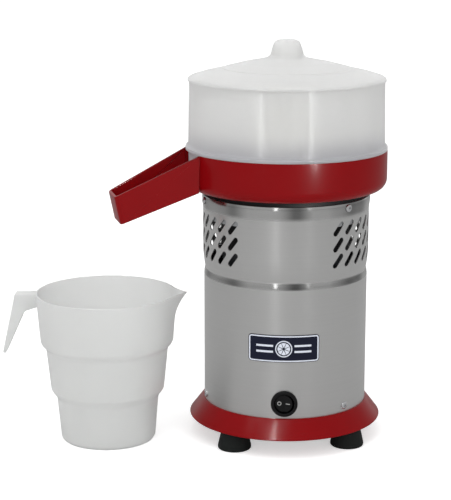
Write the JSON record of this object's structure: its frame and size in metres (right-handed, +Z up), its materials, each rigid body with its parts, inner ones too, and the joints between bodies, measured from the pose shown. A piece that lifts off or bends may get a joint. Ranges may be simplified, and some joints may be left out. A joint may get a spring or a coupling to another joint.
{
  "type": "citrus juicer",
  "caption": "Countertop electric citrus juicer: steel motor housing on a red base, red bowl with a sloping spout, lift-off guard ring and lid, strainer, reamer, rocker switch and a separate jug.",
  "frame": {"origin": "on the motor's axis at the surface that the feet stand on", "axes": "+Z up along the motor's axis, -Y towards the front with the switch, -X towards the spout and the jug"},
  "size_m": [0.351, 0.1843, 0.3655],
  "materials": {
    "red_enamel": "gloss enamel",
    "brushed_steel": "brushed around, satin",
    "zinc_steel": "zinc plated",
    "screw_steel": "bright",
    "foot_rubber": "matt",
    "seal_rubber": "matt",
    "cast_aluminium": "cast and machined",
    "motor_paint": "sprayed satin black",
    "core_steel": "stacked sheets",
    "copper_winding": "varnished copper wire",
    "ground_steel": "ground",
    "black_plastic": "fine texture",
    "rocker_plastic": "satin",
    "white_marks": "printed",
    "label_silver": "satin",
    "label_navy": "satin print",
    "capacitor_plastic": "moulded",
    "terminal_plastic": "moulded",
    "strainer_steel": "satin",
    "reamer_plastic": "moulded",
    "milky_plastic": "translucent moulded polypropylene",
    "jug_plastic": "translucent moulded polypropylene"
  },
  "bodies": {
    "housing": {"base_ring": "red_enamel", "lower_shell": "brushed_steel", "upper_shell": "brushed_steel", "base_plate": "zinc_steel", "base_plate_screws": "screw_steel", "foot_screws": "screw_steel", "lower_shell_screws": "screw_steel", "upper_shell_screws": "screw_steel", "motor_bolts": "screw_steel", "shell_band": "zinc_steel", "capacitor_clip": "zinc_steel", "foot_front_right": "foot_rubber", "foot_front_left": "foot_rubber", "foot_rear_left": "foot_rubber", "foot_rear_right": "foot_rubber", "shaft_seal": "seal_rubber", "bowl_gasket": "seal_rubber", "top_cover": "cast_aluminium", "upper_end_bell": "motor_paint", "lower_end_bell": "motor_paint", "stator_core": "core_steel", "stator_winding": "copper_winding", "upper_bearing": "ground_steel", "lower_bearing": "ground_steel", "switch_bezel": "black_plastic", "cable_inlet": "black_plastic", "inlet_nut": "black_plastic", "label_border": "label_silver", "label_emblem": "label_silver", "label_plate": "label_navy", "run_capacitor": "capacitor_plastic", "terminal_block": "terminal_plastic"},
    "rotor": {"motor_shaft": "ground_steel", "rotor_core": "core_steel", "drive_pin": "ground_steel", "cooling_fan": "black_plastic"},
    "rocker": {"switch_rocker": "rocker_plastic", "switch_marks": "white_marks"},
    "bowl": {"bowl": "red_enamel", "spout": "red_enamel"},
    "strainer": {"strainer": "strainer_steel"},
    "reamer": {"reamer": "reamer_plastic"},
    "guard": {"guard_ring": "milky_plastic"},
    "lid": {"lid": "milky_plastic"},
    "jug": {"jug": "jug_plastic"}
  },
  "joints": [
    {"name": "motor_spin", "type": "hinge", "parent": "housing", "child": "rotor", "pos_m": [0, 0, 0.15], "axis": [0, 0, 1], "continuous": true},
    {"name": "switch_rock", "type": "hinge", "parent": "housing", "child": "rocker", "pos_m": [0, -0.0725, 0.048], "axis": [0, 0, 1], "range_deg": [0, 24]},
    {"name": "guard_lift", "type": "slide", "parent": "housing", "child": "guard", "axis": [0, 0, 1], "range_m": [0, 0.3]},
    {"name": "lid_lift", "type": "slide", "parent": "guard", "child": "lid", "axis": [0, 0, 1], "range_m": [0, 0.12]},
    {"name": "reamer_lift", "type": "slide", "parent": "rotor", "child": "reamer", "axis": [0, 0, 1], "range_m": [0, 0.18]},
    {"name": "strainer_lift", "type": "slide", "parent": "housing", "child": "strainer", "axis": [0, 0, 1], "range_m": [0, 0.12]},
    {"name": "bowl_lift", "type": "slide", "parent": "housing", "child": "bowl", "axis": [0, 0, 1], "range_m": [0, 0.06]},
    {"name": "jug_slide", "type": "slide", "parent": "housing", "child": "jug", "axis": [-1, 0, 0], "range_m": [0, 0.2]}
  ],
  "couplings": [
    {"joint": "reamer_lift", "follows": "guard_lift", "ratio": 0.6},
    {"joint": "strainer_lift", "follows": "guard_lift", "ratio": 0.4},
    {"joint": "bowl_lift", "follows": "guard_lift", "ratio": 0.2}
  ]
}
